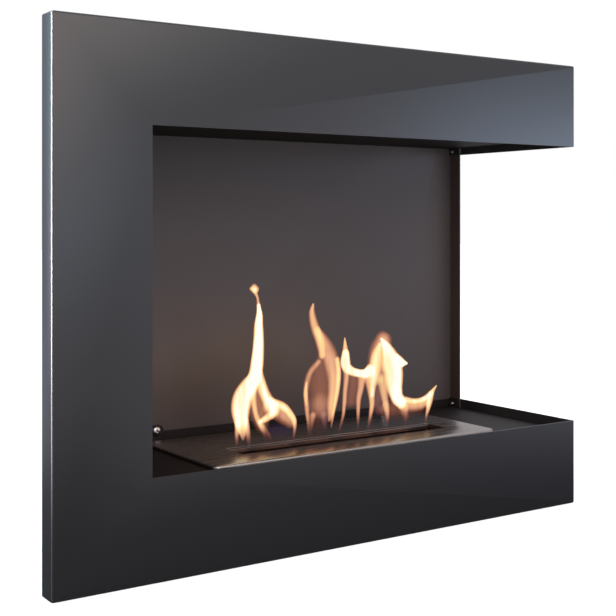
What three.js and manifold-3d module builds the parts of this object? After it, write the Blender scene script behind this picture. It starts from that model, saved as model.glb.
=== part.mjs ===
// Bioethanol corner fireplace: a C-shaped front frame in folded sheet, a firebox behind it that is open
// to the front and to the right, and a drop-in burner whose slot is closed by a sliding shutter.
// Millimetres, +Z up. The fireplace is drawn from the lower left corner of its face (X to the right,
// Y to the rear) and then moved so that its origin is the centre of the surface that it stands on.

import * as THREE from 'three';
import { mergeVertices } from 'three/addons/utils/BufferGeometryUtils.js';
import Module from 'manifold-3d';

const wasm = await Module();
wasm.setup();

// ---- Driving dimensions ----

// Front frame
const FRAME_WIDTH = 800;
const LEFT_BAND = 120;
const TOP_BAND = 118;
const BOTTOM_BAND = 120;
const OPENING_HEIGHT = 399;
const FRAME_SHEET = 2;
const FRAME_RETURN = 27;
const FRAME_BEND = 2.6;

// Casing and firebox
const CASING_DEPTH = 275;
const CASING_SHEET = 1.5;
const CASING_BEND = 2;
const POST_DEPTH = 25.5;
const FLOOR_DROP = 14;
const CEILING_RISE = 11;
const LINER_FLANGE = 14;
const REAR_LIP = 11.5;
const COVER_FLANGE = 16;

// Clearances
const JOINT_GAP = 0.3;
const HOLE_CLEARANCE = 0.3;
const THREAD_CLEARANCE = 0.15;
const CUT_OUT_CLEARANCE = 3;

// Frame brackets, their studs and nuts
const BRACKET_LEG = 24;
const BRACKET_LENGTH = 40;
const BRACKET_SHEET = 2;
const BRACKET_INSET = 130;
const STUD_RADIUS = 2.5;
const STUD_LENGTH = 10;
const NUT_ACROSS_FLATS = 8;
const NUT_HEIGHT = 4;

// Button-head screws: two in the open rear corner, two along the back of the floor
const CORNER_SCREW_RADIUS = 2;
const CORNER_HEAD_RADIUS = 3.9;
const CORNER_HEAD_HEIGHT = 2.3;
const CORNER_SCREW_SETBACK = 9;
const TRAY_SCREW_RADIUS = 3;
const TRAY_HEAD_RADIUS = 6.8;
const TRAY_HEAD_HEIGHT = 4;
const TRAY_SCREW_SPACING = 402;
const TRAY_SCREW_RISE = 12.5;
const EAR_WIDTH = 24;
const EAR_CORNER = 8;
const EAR_DROP = 4;

// Proportions of a button head and its hexagon socket, from the head's height and the thread's radius
const HEAD_RIM_SHARE = 0.22;
const SOCKET_FLOOR_SHARE = 0.4;
const SOCKET_RADIUS_SHARE = 0.72;

// Hanging keyholes and fixing holes in the back panel
const KEYHOLE_SPACING = 460;
const KEYHOLE_ENTRY_RADIUS = 6;
const KEYHOLE_SLOT_RADIUS = 3;
const KEYHOLE_RUN = 12;
const FIXING_HOLE_RADIUS = 3.5;

// Burner
const PLATE_LENGTH = 464;
const PLATE_SHEET = 1.5;
const PLATE_RISE = 5.2;
const PLATE_CORNER = 9;
const PLATE_BEND = 3;
const PLATE_SETBACK = 51;
const PLATE_REAR_MARGIN = 25.7;
const SLOT_LENGTH = 344;
const SLOT_WIDTH = 45;
const SLOT_SETBACK = 46;
const SLOT_OFFSET = 7;
const SLOT_CORNER = 3;
const TANK_DEPTH = 60;
const TANK_SHEET = 1;
const TANK_CORNER = 4;
const TANK_BEND = 3;
const TANK_RIM = 8;
const SHUTTER_SHEET = 1.5;
const SHUTTER_WIDTH = 57;
const SHUTTER_END_OVERLAP = 6;
const SHUTTER_FRONT_OVERLAP = 4;
const SHUTTER_PEEK = 4;
const SHUTTER_LIP = 5;
const SHUTTER_CORNER = 2;
const SHUTTER_RUN = 1;
const TOOL_CUP_RADIUS = 7;
const TOOL_CUP_DEPTH = 4;
const GUIDE_SHEET = 1.2;
const GUIDE_SHELF = 6;
const STOP_ROOM = 6;
const FIBRE_WIDTH = 43;
const FIBRE_HEIGHT = 38;
const FIBRE_END_ROOM = 5;
const SCREEN_SHEET = 0.8;
const SCREEN_SKIRT = 9;
const SCREEN_BEND = 0.1;
const SCREEN_HOLE_RADIUS = 3;
const SCREEN_PITCH = 14;
const SCREEN_ROWS = 3;

// Folded pans: how much wider a corner is than its bend, and the least inside radii
const CORNER_EASE = 0.2;
const LEAST_CORNER = 0.5;
const LEAST_BEND = 0.3;

// Roundness: straight runs in a quarter turn of sheet, of an outline and of a screw's dome; sides of rounds
const BEND_STEPS = 3;
const ARC_STEPS = 5;
const ROUND_SIDES = 20;
const PUNCHED_SIDES = 8;
const HEXAGON = 6;

// Grain that all points are rounded to
const GRAIN = 0.001;

// ---- Places that follow from the dimensions ----

const HEIGHT = BOTTOM_BAND + OPENING_HEIGHT + TOP_BAND;
const OPENING_TOP = BOTTOM_BAND + OPENING_HEIGHT;
const FLOOR_TOP = BOTTOM_BAND - FLOOR_DROP;
const CEILING_FACE = OPENING_TOP + CEILING_RISE;

const BAND_BACK = FRAME_SHEET + JOINT_GAP;
const BACK_FACE = CASING_DEPTH - CASING_SHEET;
const POST_FRONT = CASING_DEPTH - POST_DEPTH;
const WALL_OUTSIDE = LEFT_BAND - CASING_SHEET;
const CASING_LEFT = WALL_OUTSIDE - JOINT_GAP - CASING_SHEET;

// How far a panel's tongues are set in, to pass behind the frame's return and the back panel's flange
const FRONT_INSET = FRAME_SHEET + JOINT_GAP;
const REAR_INSET = CASING_SHEET + JOINT_GAP;
const FRONT_STEP = FRAME_RETURN + 2 * JOINT_GAP;
const REAR_STEP = POST_FRONT - 2 * JOINT_GAP - REAR_INSET;
const STEP_ROOM = 2 * JOINT_GAP + CASING_SHEET;
const MAIN_FRONT = FRONT_STEP + FRONT_INSET + STEP_ROOM;
const MAIN_REAR = REAR_STEP - STEP_ROOM;
const TONGUE_DEPTH = FRONT_INSET + CASING_SHEET + JOINT_GAP;

const FIREBOX_CENTRE = (LEFT_BAND + FRAME_WIDTH) / 2;
const CASING_CENTRE = (CASING_LEFT + FRAME_WIDTH) / 2;

const REAR_LINE = BACK_FACE - JOINT_GAP;
const LIP_FRONT = REAR_LINE - CASING_SHEET;
const PLATE_WIDTH = LIP_FRONT - PLATE_REAR_MARGIN - PLATE_SETBACK;
const PLATE_HALF = PLATE_WIDTH / 2;
const BURNER_X = FIREBOX_CENTRE + SLOT_OFFSET;
const BURNER_Y = PLATE_SETBACK + PLATE_HALF;
const BURNER_Z = FLOOR_TOP + PLATE_RISE;
const SLOT_FRONT = SLOT_SETBACK - PLATE_HALF;
const SLOT_REAR = SLOT_FRONT + SLOT_WIDTH;
const SLOT_CENTRE = (SLOT_FRONT + SLOT_REAR) / 2;
const SHUTTER_LENGTH = SLOT_LENGTH + 2 * SHUTTER_END_OVERLAP;
const SHUTTER_FRONT = SLOT_REAR - SHUTTER_PEEK;
const SHUTTER_REAR = SHUTTER_FRONT + SHUTTER_WIDTH;
const SHUTTER_TOP = -PLATE_SHEET - JOINT_GAP;
const SHUTTER_BOTTOM = SHUTTER_TOP - SHUTTER_SHEET;
const SHUTTER_TRAVEL = SLOT_WIDTH - SHUTTER_PEEK + SHUTTER_FRONT_OVERLAP;
const GUIDE_INSIDE = SHUTTER_LENGTH / 2 + SHUTTER_RUN;
const GUIDE_OUTSIDE = GUIDE_INSIDE + GUIDE_SHEET;
const SHELF_TOP = SHUTTER_BOTTOM - JOINT_GAP;
const SHELF_BOTTOM = SHELF_TOP - GUIDE_SHEET;
const TANK_FRONT = SLOT_FRONT - SHUTTER_FRONT_OVERLAP - STOP_ROOM - TANK_SHEET;
const TANK_REAR = SHUTTER_REAR + STOP_ROOM + TANK_SHEET;
const TANK_CENTRE = (TANK_FRONT + TANK_REAR) / 2;
const TANK_WIDTH = TANK_REAR - TANK_FRONT;
const TANK_LENGTH = 2 * (GUIDE_OUTSIDE + JOINT_GAP + TANK_SHEET);
const RIM_TOP = -PLATE_SHEET - JOINT_GAP;
const TANK_BASE = RIM_TOP - TANK_DEPTH;
const FIBRE_BASE = TANK_BASE + TANK_SHEET + JOINT_GAP;
const FIBRE_LENGTH = SLOT_LENGTH - 2 * FIBRE_END_ROOM;

// ---- Finishes ----

const paint = new THREE.MeshStandardMaterial({ color: 0x3a3b3f, roughness: 0.5, metalness: 0.35 });
const blackPaint = new THREE.MeshStandardMaterial({ color: 0x2a2423, roughness: 0.62, metalness: 0.3 });
const stainless = new THREE.MeshStandardMaterial({ color: 0xa8a49f, roughness: 0.34, metalness: 1 });
const zinc = new THREE.MeshStandardMaterial({ color: 0x8d8f92, roughness: 0.4, metalness: 0.9 });
const ceramicFibre = new THREE.MeshStandardMaterial({ color: 0xe6e1d6, roughness: 0.95, metalness: 0 });
for (const finish of [paint, blackPaint, stainless, zinc, ceramicFibre]) {
  finish.flatShading = true;
}

// ---- Shapes ----

/**
 * Turns a closed geometry into a solid that can be cut and joined.
 * Its points are rounded to the grain, so that faces drawn at one level lie exactly in one plane.
 */
function solidOf(geometry) {
  geometry.deleteAttribute('normal');
  geometry.deleteAttribute('uv');
  const points = geometry.attributes.position.array;
  points.forEach((value, i) => {
    points[i] = Math.round(value / GRAIN) * GRAIN;
  });
  const merged = mergeVertices(geometry, GRAIN / 2);
  const mesh = new wasm.Mesh({
    numProp: 3,
    vertProperties: merged.attributes.position.array,
    triVerts: Uint32Array.from(merged.index.array),
  });
  return new wasm.Manifold(mesh);
}

/** Turns a finished solid back into a geometry. */
function geometryOf(solid) {
  const mesh = solid.getMesh();
  const geometry = new THREE.BufferGeometry();
  geometry.setAttribute('position', new THREE.BufferAttribute(mesh.vertProperties, 3));
  geometry.setIndex(new THREE.BufferAttribute(mesh.triVerts, 1));
  return geometry;
}

/** Rectangular block between the given limits. */
function block([x0, x1], [y0, y1], [z0, z1]) {
  const geometry = new THREE.BoxGeometry(x1 - x0, y1 - y0, z1 - z0);
  geometry.translate((x0 + x1) / 2, (y0 + y1) / 2, (z0 + z1) / 2);
  return solidOf(geometry);
}

/** Cylinder along 'x', 'y' or 'z' from start to end, centred on the other two axes at the given place. */
function rod(axis, radius, [start, end], [a, b], sides = ROUND_SIDES) {
  const geometry = new THREE.CylinderGeometry(radius, radius, end - start, sides);
  const middle = (start + end) / 2;
  if (axis === 'x') {
    geometry.rotateZ(Math.PI / 2).translate(middle, a, b);
  } else if (axis === 'y') {
    geometry.translate(a, middle, b);
  } else {
    geometry.rotateX(Math.PI / 2).translate(a, b, middle);
  }
  return solidOf(geometry);
}

// World axes that a drawn outline's two axes and its sweep direction lie along
const SWEEPS = {
  x: [new THREE.Vector3(0, 1, 0), new THREE.Vector3(0, 0, 1), new THREE.Vector3(1, 0, 0)],
  y: [new THREE.Vector3(0, 0, 1), new THREE.Vector3(1, 0, 0), new THREE.Vector3(0, 1, 0)],
  z: [new THREE.Vector3(1, 0, 0), new THREE.Vector3(0, 1, 0), new THREE.Vector3(0, 0, 1)],
};

/** Sweeps an outline along 'x' (drawn in Y, Z), 'y' (drawn in Z, X) or 'z' (drawn in X, Y). */
function sweep(axis, outline, [start, end]) {
  const shape = outline instanceof THREE.Shape ? outline : new THREE.Shape(outline);
  const geometry = new THREE.ExtrudeGeometry(shape, {
    depth: end - start,
    bevelEnabled: false,
    curveSegments: ARC_STEPS,
  });
  geometry.translate(0, 0, start);
  geometry.applyMatrix4(new THREE.Matrix4().makeBasis(...SWEEPS[axis]));
  return solidOf(geometry);
}

/** Rounded rectangle centred on a point. */
function roundedRectangle(length, width, radius, [cx, cy] = [0, 0]) {
  const x = cx - length / 2;
  const y = cy - width / 2;
  const shape = new THREE.Shape();
  shape.moveTo(x + radius, y);
  shape.lineTo(x + length - radius, y);
  shape.absarc(x + length - radius, y + radius, radius, -Math.PI / 2, 0);
  shape.lineTo(x + length, y + width - radius);
  shape.absarc(x + length - radius, y + width - radius, radius, 0, Math.PI / 2);
  shape.lineTo(x + radius, y + width);
  shape.absarc(x + radius, y + width - radius, radius, Math.PI / 2, Math.PI);
  shape.lineTo(x, y + radius);
  shape.absarc(x + radius, y + radius, radius, Math.PI, 1.5 * Math.PI);
  return shape;
}

/**
 * Outline of a folded sheet, from the line that the middle of its thickness follows.
 * Each corner of the line becomes a bend of the given inside radius.
 */
function foldedSection(line, sheet, insideRadius) {
  const centre = line.map(([a, b]) => new THREE.Vector2(a, b));
  const radius = insideRadius + sheet / 2;
  const left = [];
  const right = [];
  const offset = (point, direction) => {
    const side = new THREE.Vector2(-direction.y, direction.x).multiplyScalar(sheet / 2);
    left.push(point.clone().add(side));
    right.push(point.clone().sub(side));
  };
  const directions = centre.slice(1).map((point, i) => point.clone().sub(centre[i]).normalize());
  offset(centre[0], directions[0]);
  for (let i = 1; i < centre.length - 1; i += 1) {
    const before = directions[i - 1];
    const after = directions[i];
    const turn = Math.atan2(before.cross(after), before.dot(after));
    const reach = radius * Math.tan(Math.abs(turn) / 2);
    const start = centre[i].clone().addScaledVector(before, -reach);
    const inward = new THREE.Vector2(-before.y, before.x).multiplyScalar(Math.sign(turn) * radius);
    const pivot = start.clone().add(inward);
    const steps = Math.max(2, Math.round((BEND_STEPS * Math.abs(turn)) / (Math.PI / 2)));
    for (let step = 0; step <= steps; step += 1) {
      const angle = (turn * step) / steps;
      const point = start.clone().rotateAround(pivot, angle);
      offset(point, before.clone().rotateAround(new THREE.Vector2(), angle));
    }
  }
  offset(centre.at(-1), directions.at(-1));
  return new THREE.Shape([...left, ...right.reverse()]);
}

/** Slab with rounded corners whose lower edges are rounded by the bend radius; its face is at z = 0. */
function roundedSlab(length, width, depth, corner, bend) {
  const shape = roundedRectangle(length, width, corner);
  const geometry = new THREE.ExtrudeGeometry(shape, {
    depth,
    bevelThickness: bend,
    bevelSize: bend,
    bevelOffset: -bend,
    bevelSegments: BEND_STEPS,
    curveSegments: BEND_STEPS,
  });
  geometry.translate(0, 0, bend);
  return geometry;
}

/**
 * Pan folded from sheet: a face and four walls, open on the other side.
 * It is drawn with its face at z = 0 and its walls up to the given depth, then placed by the matrix.
 */
function foldedPan({ length, width, depth, sheet, corner, bend }, placing) {
  const outside = roundedSlab(length, width, depth, corner, bend);
  const insideCorner = Math.max(corner - sheet, LEAST_CORNER);
  const insideBend = Math.max(bend - sheet, LEAST_BEND);
  const inside = roundedSlab(length - 2 * sheet, width - 2 * sheet, depth, insideCorner, insideBend);
  inside.translate(0, 0, sheet);
  const spareDepth = depth + 2 * bend;
  const spare = new THREE.BoxGeometry(length * 2, width * 2, spareDepth);
  spare.translate(0, 0, depth + spareDepth / 2);
  for (const geometry of [outside, inside, spare]) {
    geometry.applyMatrix4(placing);
  }
  return solidOf(outside).subtract(solidOf(inside)).subtract(solidOf(spare));
}

/** Placing for a folded pan: a turn about X, then a move. */
function placed(turn, [x, y, z]) {
  return new THREE.Matrix4().makeRotationX(turn).setPosition(x, y, z);
}

/** Adds a solid to a group as a named piece. */
function addPiece(group, name, solid, finish) {
  const mesh = new THREE.Mesh(geometryOf(solid), finish);
  mesh.name = name;
  group.add(mesh);
  return mesh;
}

/** Distances from the middle of a row of two to its members. */
const pair = (spacing) => [-spacing / 2, spacing / 2];

// ---- Front frame ----

const BRACKET_XS = [CASING_LEFT + BRACKET_INSET, FRAME_WIDTH - BRACKET_INSET];
const BRACKET_ZS = [BOTTOM_BAND + BRACKET_INSET, OPENING_TOP - BRACKET_INSET];
const STUD_OFFSET = BRACKET_LEG / 2 + BRACKET_SHEET / 2;
const LOW_BRACKET = TONGUE_DEPTH;
const HIGH_BRACKET = HEIGHT - TONGUE_DEPTH;
const SIDE_BRACKET = WALL_OUTSIDE - JOINT_GAP;

/** Where each stud stands on the back of the face, with the way its bracket's foot points. */
const STUDS = [
  ...BRACKET_XS.map((x) => ({ place: 'top', x, z: HIGH_BRACKET - STUD_OFFSET })),
  ...BRACKET_XS.map((x) => ({ place: 'bottom', x, z: LOW_BRACKET + STUD_OFFSET })),
  ...BRACKET_ZS.map((z) => ({ place: 'side', x: SIDE_BRACKET - STUD_OFFSET, z })),
];

/** C-shaped face with its return folded back all round the outside, and the studs that hold it. */
function frontFrame() {
  const size = {
    length: FRAME_WIDTH,
    width: HEIGHT,
    depth: FRAME_RETURN,
    sheet: FRAME_SHEET,
    corner: FRAME_BEND + CORNER_EASE,
    bend: FRAME_BEND,
  };
  const pan = foldedPan(size, placed(-Math.PI / 2, [FRAME_WIDTH / 2, 0, HEIGHT / 2]));
  const opening = block(
    [LEFT_BAND, FRAME_WIDTH + FRAME_SHEET],
    [-FRAME_SHEET, FRAME_RETURN + FRAME_SHEET],
    [BOTTOM_BAND, OPENING_TOP],
  );
  let face = pan.subtract(opening);
  for (const { x, z } of STUDS) {
    face = face.add(rod('y', STUD_RADIUS, [FRAME_SHEET / 2, FRAME_SHEET + STUD_LENGTH], [x, z]));
  }
  return face;
}

/** Angle bracket behind one stud; its foot lies against a cover's tongue or the left wall. */
function frameBracket({ place, x, z }) {
  const heel = BRACKET_SHEET / 2;
  const faceLine = BAND_BACK + heel;
  const foot = BAND_BACK + BRACKET_LEG;
  let bracket;
  if (place === 'side') {
    const wall = SIDE_BRACKET - heel;
    const line = [[SIDE_BRACKET - BRACKET_LEG, faceLine], [wall, faceLine], [wall, foot]];
    const section = foldedSection(line, BRACKET_SHEET, CASING_BEND);
    bracket = sweep('z', section, [z - BRACKET_LENGTH / 2, z + BRACKET_LENGTH / 2]);
  } else {
    const up = place === 'top' ? -1 : 1;
    const seat = place === 'top' ? HIGH_BRACKET : LOW_BRACKET;
    const [tip, base] = [seat + up * BRACKET_LEG, seat + up * heel];
    const line = [[faceLine, tip], [faceLine, base], [foot, base]];
    const section = foldedSection(line, BRACKET_SHEET, CASING_BEND);
    bracket = sweep('x', section, [x - BRACKET_LENGTH / 2, x + BRACKET_LENGTH / 2]);
  }
  const hole = rod('y', STUD_RADIUS + HOLE_CLEARANCE, [0, BAND_BACK + 2 * BRACKET_SHEET], [x, z]);
  return bracket.subtract(hole);
}

/** Hexagon nut on one stud. */
function frameNut({ x, z }) {
  const front = BAND_BACK + BRACKET_SHEET + JOINT_GAP;
  const corner = NUT_ACROSS_FLATS / Math.sqrt(3);
  const body = rod('y', corner, [front, front + NUT_HEIGHT], [x, z], HEXAGON);
  const bore = rod('y', STUD_RADIUS + THREAD_CLEARANCE, [0, front + 2 * NUT_HEIGHT], [x, z]);
  return body.subtract(bore);
}

// ---- Screws ----

/** Button-head screw: its seat is at z = 0, the domed head above and the shank below. */
function buttonScrew(radius, headRadius, headHeight, length) {
  const rim = headHeight * HEAD_RIM_SHARE;
  const dome = new THREE.EllipseCurve(0, rim, headRadius, headHeight - rim, 0, Math.PI / 2);
  const profile = [
    new THREE.Vector2(0, -length),
    new THREE.Vector2(radius, -length),
    new THREE.Vector2(radius, 0),
    new THREE.Vector2(headRadius, 0),
    ...dome.getPoints(ARC_STEPS),
  ];
  profile.at(-1).x = 0;
  const body = solidOf(new THREE.LatheGeometry(profile, ROUND_SIDES).rotateX(Math.PI / 2));
  const socketFloor = headHeight * SOCKET_FLOOR_SHARE;
  const socket = rod('z', radius * SOCKET_RADIUS_SHARE, [socketFloor, 2 * headHeight], [0, 0], HEXAGON);
  return body.subtract(socket);
}

// ---- Casing ----

const TRAY_SCREW_XS = pair(TRAY_SCREW_SPACING).map((offset) => FIREBOX_CENTRE + offset);
const TRAY_SCREW_Z = FLOOR_TOP + TRAY_SCREW_RISE;
const CORNER_SCREW_Y = CASING_DEPTH - CORNER_SCREW_SETBACK;
const CORNER_SCREW_ZS = {
  lower: FLOOR_TOP + CORNER_HEAD_RADIUS + 2 * JOINT_GAP,
  upper: CEILING_FACE - CORNER_HEAD_RADIUS - 2 * JOINT_GAP,
};

/** Holes for the two corner screws, through the post and the cheeks' tongues. */
function drillCornerHoles(panel) {
  let drilled = panel;
  for (const z of Object.values(CORNER_SCREW_ZS)) {
    const radius = CORNER_SCREW_RADIUS + HOLE_CLEARANCE;
    drilled = drilled.subtract(
      rod('x', radius, [FRAME_WIDTH - POST_DEPTH, FRAME_WIDTH + CASING_SHEET], [CORNER_SCREW_Y, z]),
    );
  }
  return drilled;
}

/** Holes for the two screws along the back of the floor. */
function drillTrayHoles(panel) {
  let drilled = panel;
  for (const x of TRAY_SCREW_XS) {
    const radius = TRAY_SCREW_RADIUS + HOLE_CLEARANCE;
    drilled = drilled.subtract(
      rod('y', radius, [CASING_DEPTH - POST_DEPTH, CASING_DEPTH + CASING_SHEET], [x, TRAY_SCREW_Z]),
    );
  }
  return drilled;
}

/** Back of the firebox, full height, with a flange all round; the right flange is the open corner's post. */
function backPanel() {
  const size = {
    length: FRAME_WIDTH - CASING_LEFT,
    width: HEIGHT,
    depth: POST_DEPTH,
    sheet: CASING_SHEET,
    corner: CASING_BEND + CORNER_EASE,
    bend: CASING_BEND,
  };
  let panel = foldedPan(size, placed(Math.PI / 2, [CASING_CENTRE, CASING_DEPTH, HEIGHT / 2]));
  const through = [BACK_FACE - CASING_SHEET, CASING_DEPTH + CASING_SHEET];
  const keyholeZ = (CEILING_FACE + HEIGHT) / 2;
  const fixingZ = FLOOR_TOP / 2;
  for (const offset of pair(KEYHOLE_SPACING)) {
    const x = CASING_CENTRE + offset;
    const across = [x - KEYHOLE_SLOT_RADIUS, x + KEYHOLE_SLOT_RADIUS];
    const neck = block(across, through, [keyholeZ, keyholeZ + KEYHOLE_RUN]);
    panel = panel.subtract(rod('y', KEYHOLE_ENTRY_RADIUS, through, [x, keyholeZ]));
    panel = panel.subtract(neck);
    panel = panel.subtract(rod('y', KEYHOLE_SLOT_RADIUS, through, [x, keyholeZ + KEYHOLE_RUN]));
    panel = panel.subtract(rod('y', FIXING_HOLE_RADIUS, through, [x, fixingZ]));
  }
  return drillTrayHoles(drillCornerHoles(panel));
}

/** Closed left side of the firebox, which also closes the chambers above and below it. */
function leftWall() {
  return block(
    [WALL_OUTSIDE, LEFT_BAND],
    [BAND_BACK, REAR_LINE],
    [TONGUE_DEPTH, HEIGHT - TONGUE_DEPTH],
  );
}

/**
 * Section of an outer panel from front to rear, as depth and distance in from the casing's outside.
 * The middle is flush with the outside, and a tongue at each end passes behind what the panel meets.
 */
function joggledSection(outside, inward) {
  const middle = CASING_SHEET / 2;
  const line = [
    [BAND_BACK, FRONT_INSET + middle],
    [FRONT_STEP, FRONT_INSET + middle],
    [FRONT_STEP + FRONT_INSET, middle],
    [REAR_STEP, middle],
    [REAR_STEP + REAR_INSET, REAR_INSET + middle],
    [REAR_LINE, REAR_INSET + middle],
  ];
  return line.map(([depth, inset]) => [depth, outside + inward * inset]);
}

/** Outer panel of the right side, above or below the opening. */
function sideCheek([low, high], coverLevel) {
  const line = joggledSection(FRAME_WIDTH, -1).map(([depth, x]) => [x, depth]);
  const section = foldedSection(line, CASING_SHEET, CASING_SHEET / 2);
  let cheek = sweep('z', section, [low, high]);
  const across = [FRAME_WIDTH - POST_DEPTH, FRAME_WIDTH + CASING_SHEET];
  const level = [coverLevel - TONGUE_DEPTH, coverLevel + TONGUE_DEPTH];
  cheek = cheek.subtract(block(across, [0, MAIN_FRONT], level));
  cheek = cheek.subtract(block(across, [MAIN_REAR, CASING_DEPTH], level));
  return drillCornerHoles(cheek);
}

/** Top or base cover of the casing: flush in the middle, with a flange up each side. */
function cover(outside, inward) {
  const line = joggledSection(outside, inward);
  let sheet = sweep('x', foldedSection(line, CASING_SHEET, CASING_SHEET / 2), [CASING_LEFT, FRAME_WIDTH]);
  const levels = [outside, outside + inward * COVER_FLANGE].sort((a, b) => a - b);
  const rightFlange = FRAME_WIDTH - REAR_INSET;
  const all = [-TONGUE_DEPTH, HEIGHT + TONGUE_DEPTH];
  const rear = [POST_FRONT - JOINT_GAP, CASING_DEPTH];
  const front = [0, FRAME_RETURN + JOINT_GAP];
  sheet = sheet.add(block([CASING_LEFT, CASING_LEFT + CASING_SHEET], [MAIN_FRONT, MAIN_REAR], levels));
  sheet = sheet.add(block([rightFlange - CASING_SHEET, rightFlange], [MAIN_FRONT, MAIN_REAR], levels));
  sheet = sheet.subtract(block([FRAME_WIDTH - FRONT_INSET, FRAME_WIDTH + CASING_SHEET], front, all));
  sheet = sheet.subtract(block([FRAME_WIDTH - FRONT_INSET, FRAME_WIDTH + CASING_SHEET], rear, all));
  return sheet.subtract(block([CASING_LEFT - CASING_SHEET, WALL_OUTSIDE], rear, all));
}

/** Sheet that lines the firebox below or above, with flanges turned away from the fire on both sides. */
function liner(face, away) {
  const level = [face, face + away * CASING_SHEET].sort((a, b) => a - b);
  const flange = [face, face + away * LINER_FLANGE].sort((a, b) => a - b);
  const left = LEFT_BAND + JOINT_GAP;
  const right = FRAME_WIDTH - REAR_INSET;
  const narrow = FRAME_WIDTH - TONGUE_DEPTH;
  const outline = [
    [left, BAND_BACK],
    [narrow, BAND_BACK],
    [narrow, MAIN_FRONT],
    [right, MAIN_FRONT],
    [right, MAIN_REAR],
    [narrow, MAIN_REAR],
    [narrow, REAR_LINE],
    [left, REAR_LINE],
  ].map(([x, y]) => new THREE.Vector2(x, y));
  let sheet = sweep('z', outline, level);
  sheet = sheet.add(block([left, left + CASING_SHEET], [MAIN_FRONT, MAIN_REAR], flange));
  return sheet.add(block([right - CASING_SHEET, right], [MAIN_FRONT, MAIN_REAR], flange));
}

/** Floor of the firebox: cut out for the burner, with a lip up the back and one behind the bottom band. */
function floorTray() {
  const left = LEFT_BAND + JOINT_GAP;
  const right = FRAME_WIDTH - TONGUE_DEPTH;
  const low = FLOOR_TOP - CASING_SHEET;
  const frontLip = [BAND_BACK, BAND_BACK + CASING_SHEET];
  let tray = liner(FLOOR_TOP, -1);
  tray = tray.add(block([left, right], [LIP_FRONT, REAR_LINE], [low, FLOOR_TOP + REAR_LIP]));
  tray = tray.add(block([left, right], frontLip, [low, BOTTOM_BAND - CASING_SHEET]));
  for (const x of TRAY_SCREW_XS) {
    const ear = roundedRectangle(EAR_WIDTH, EAR_WIDTH, EAR_CORNER, [TRAY_SCREW_Z - EAR_DROP, x]);
    tray = tray.add(sweep('y', ear, [LIP_FRONT, REAR_LINE]));
  }
  const cutOut = roundedRectangle(
    TANK_LENGTH + 2 * CUT_OUT_CLEARANCE,
    TANK_WIDTH + 2 * CUT_OUT_CLEARANCE,
    TANK_CORNER + CUT_OUT_CLEARANCE,
    [BURNER_X, BURNER_Y + TANK_CENTRE],
  );
  tray = tray.subtract(sweep('z', cutOut, [low - CASING_SHEET, FLOOR_TOP + CASING_SHEET]));
  return drillTrayHoles(tray);
}

/** Ceiling of the firebox, with one more flange behind the top band and one up the back. */
function ceilingPanel() {
  const left = LEFT_BAND + JOINT_GAP;
  const right = FRAME_WIDTH - TONGUE_DEPTH;
  const level = [CEILING_FACE, CEILING_FACE + LINER_FLANGE];
  let panel = liner(CEILING_FACE, 1);
  panel = panel.add(block([left, right], [LIP_FRONT, REAR_LINE], level));
  return panel.add(block([left, right], [BAND_BACK, BAND_BACK + CASING_SHEET], level));
}

// ---- Burner, drawn from its plate's top face: in X from the slot's middle, in Y from the plate's ----

/** Top plate: edges folded down to the floor, and the long slot that the flames rise from. */
function burnerPlate() {
  const size = {
    length: PLATE_LENGTH,
    width: PLATE_WIDTH,
    depth: PLATE_RISE - JOINT_GAP,
    sheet: PLATE_SHEET,
    corner: PLATE_CORNER,
    bend: PLATE_BEND,
  };
  const pan = foldedPan(size, placed(Math.PI, [-SLOT_OFFSET, 0, 0]));
  const slot = roundedRectangle(SLOT_LENGTH, SLOT_WIDTH, SLOT_CORNER, [0, SLOT_CENTRE]);
  return pan.subtract(sweep('z', slot, [-2 * PLATE_SHEET, PLATE_SHEET]));
}

/** Fuel tank: a deep pan with a rim that is welded to the underside of the plate. */
function burnerTank() {
  const size = {
    length: TANK_LENGTH,
    width: TANK_WIDTH,
    depth: TANK_DEPTH,
    sheet: TANK_SHEET,
    corner: TANK_CORNER,
    bend: TANK_BEND,
  };
  const pan = foldedPan(size, placed(0, [0, TANK_CENTRE, TANK_BASE]));
  const rim = roundedRectangle(
    TANK_LENGTH + 2 * TANK_RIM,
    TANK_WIDTH + 2 * TANK_RIM,
    TANK_CORNER + TANK_RIM,
    [0, TANK_CENTRE],
  );
  const mouth = roundedRectangle(
    TANK_LENGTH - 2 * TANK_SHEET,
    TANK_WIDTH - 2 * TANK_SHEET,
    TANK_CORNER - TANK_SHEET,
    [0, TANK_CENTRE],
  );
  const flat = sweep('z', rim, [RIM_TOP - TANK_SHEET, RIM_TOP]);
  return pan.add(flat.subtract(sweep('z', mouth, [RIM_TOP - 2 * TANK_SHEET, RIM_TOP + TANK_SHEET])));
}

/** Guide under one end of the shutter: a shelf that it slides on, a side wall and a stop at each end. */
function shutterGuide(side) {
  const inner = SHUTTER_LENGTH / 2 - GUIDE_SHELF;
  const span = ([a, b]) => [side * a, side * b].sort((m, n) => m - n);
  const front = TANK_FRONT + TANK_CORNER + JOINT_GAP;
  const rear = TANK_REAR - TANK_CORNER - JOINT_GAP;
  const frontStop = SHUTTER_FRONT - SHUTTER_TRAVEL - JOINT_GAP;
  const rearStop = SHUTTER_REAR + JOINT_GAP;
  const across = span([inner, GUIDE_OUTSIDE]);
  const full = [SHELF_BOTTOM, SHUTTER_TOP];
  let guide = block(across, [front, rear], [SHELF_BOTTOM, SHELF_TOP]);
  guide = guide.add(block(span([GUIDE_INSIDE, GUIDE_OUTSIDE]), [front, rear], full));
  guide = guide.add(block(across, [frontStop - GUIDE_SHEET, frontStop], full));
  return guide.add(block(across, [rearStop, rearStop + GUIDE_SHEET], full));
}

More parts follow.
